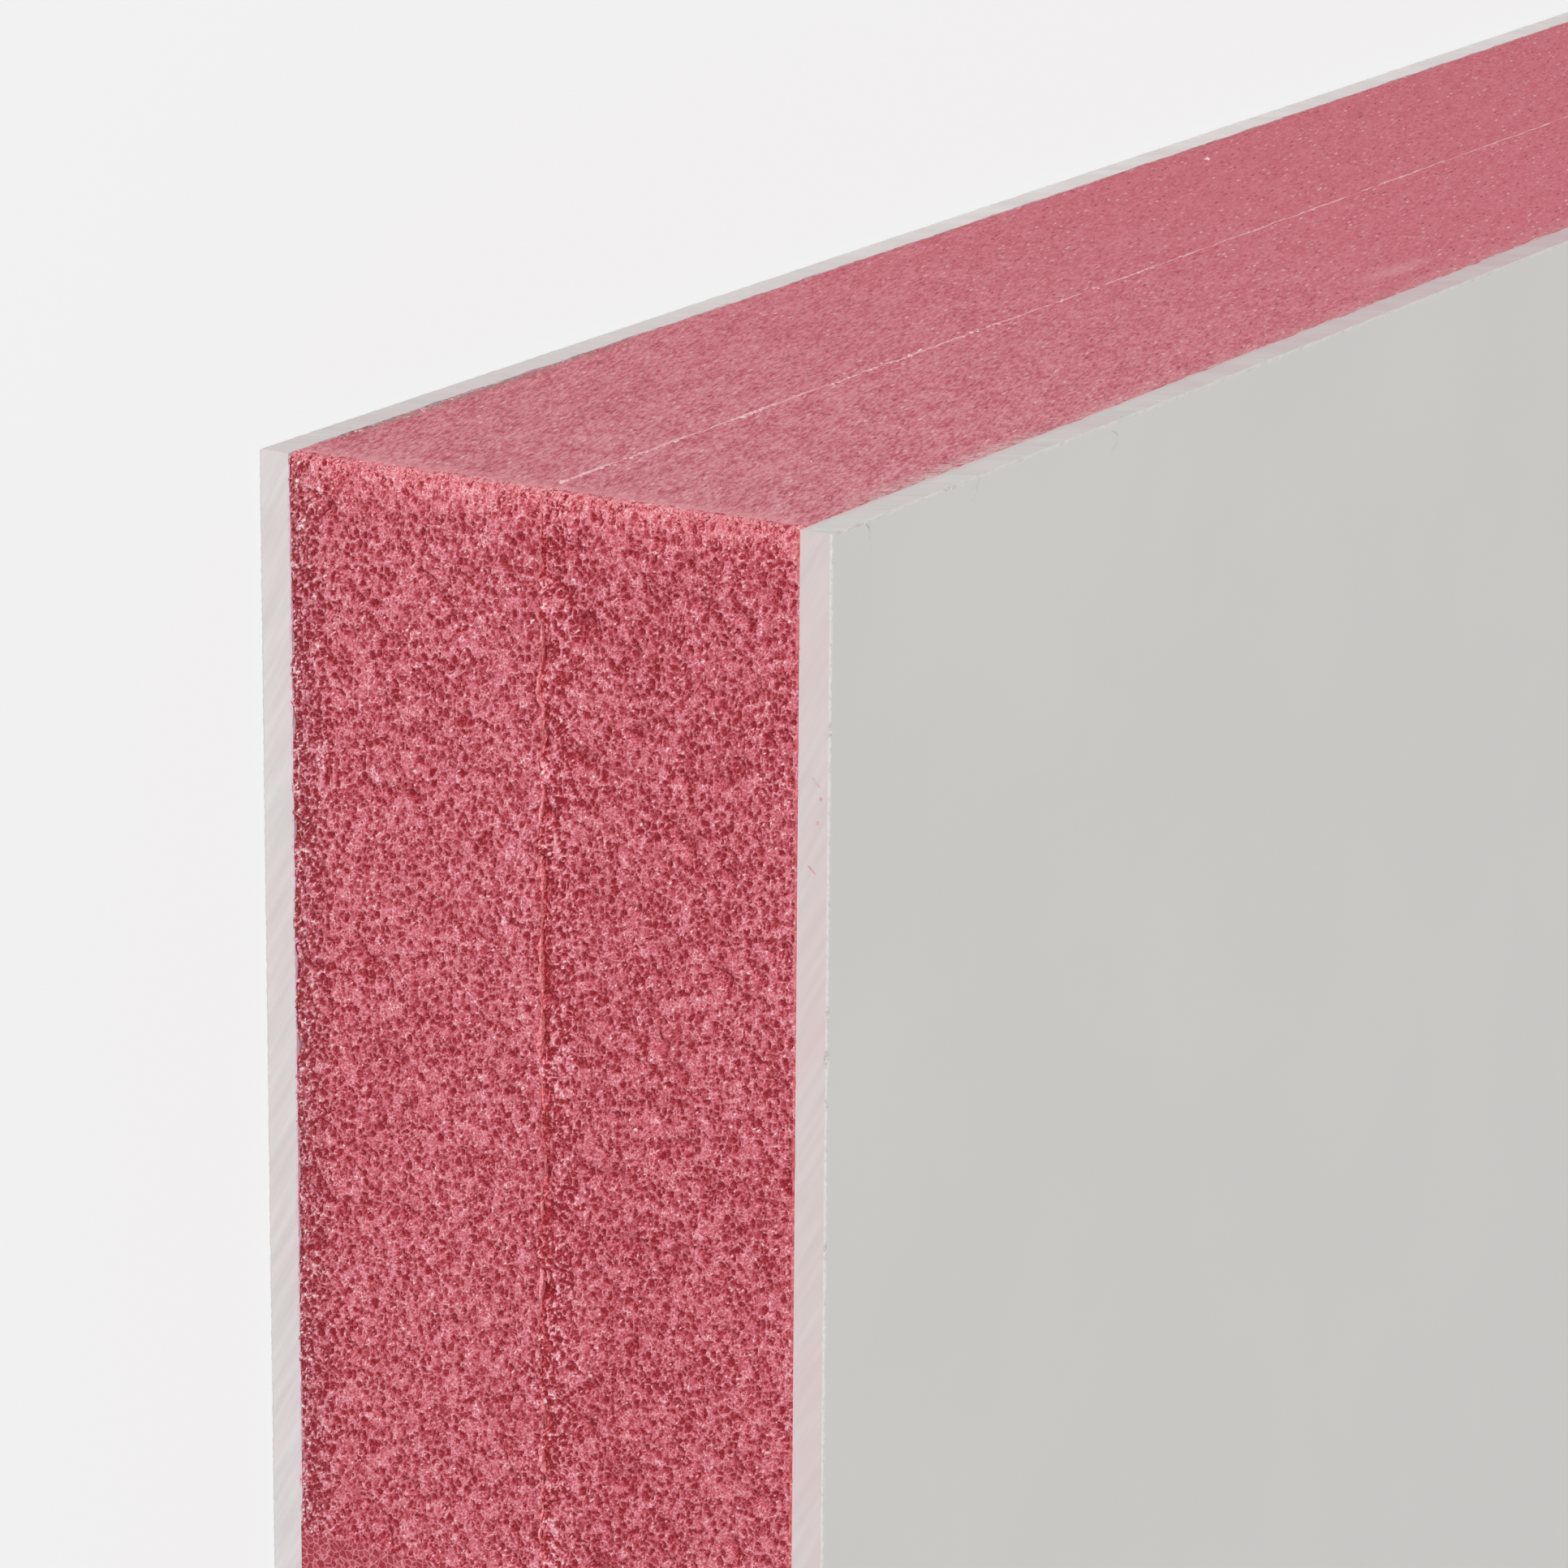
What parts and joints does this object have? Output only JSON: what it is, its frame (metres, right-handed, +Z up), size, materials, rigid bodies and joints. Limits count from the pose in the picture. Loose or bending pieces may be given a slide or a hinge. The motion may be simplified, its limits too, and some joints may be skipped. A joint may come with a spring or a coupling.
{
  "type": "pvc sandwich panel",
  "caption": "Flat insulating sandwich panel: thin white PVC facing sheets bonded to a pink extruded foam core whose boards meet at a mid-plane seam, sawn square edges.",
  "frame": {"origin": "under the panel's centre, on the outer face of the lower facing sheet, which lies on the floor", "axes": "+X along the panel's length, +Y along its width, +Z up through its thickness"},
  "size_m": [1, 0.5, 0.028],
  "materials": {
    "white_pvc": "white hard PVC sheet, satin on its faces, sawn matt on its edges",
    "pink_foam": "pink extruded polystyrene foam, torn open cells on the ends, finely sanded on the long sides"
  },
  "bodies": {
    "root": {"lower_pvc_sheet": "white_pvc", "lower_foam_board": "pink_foam", "upper_foam_board": "pink_foam", "upper_pvc_sheet": "white_pvc"}
  },
  "joints": []
}
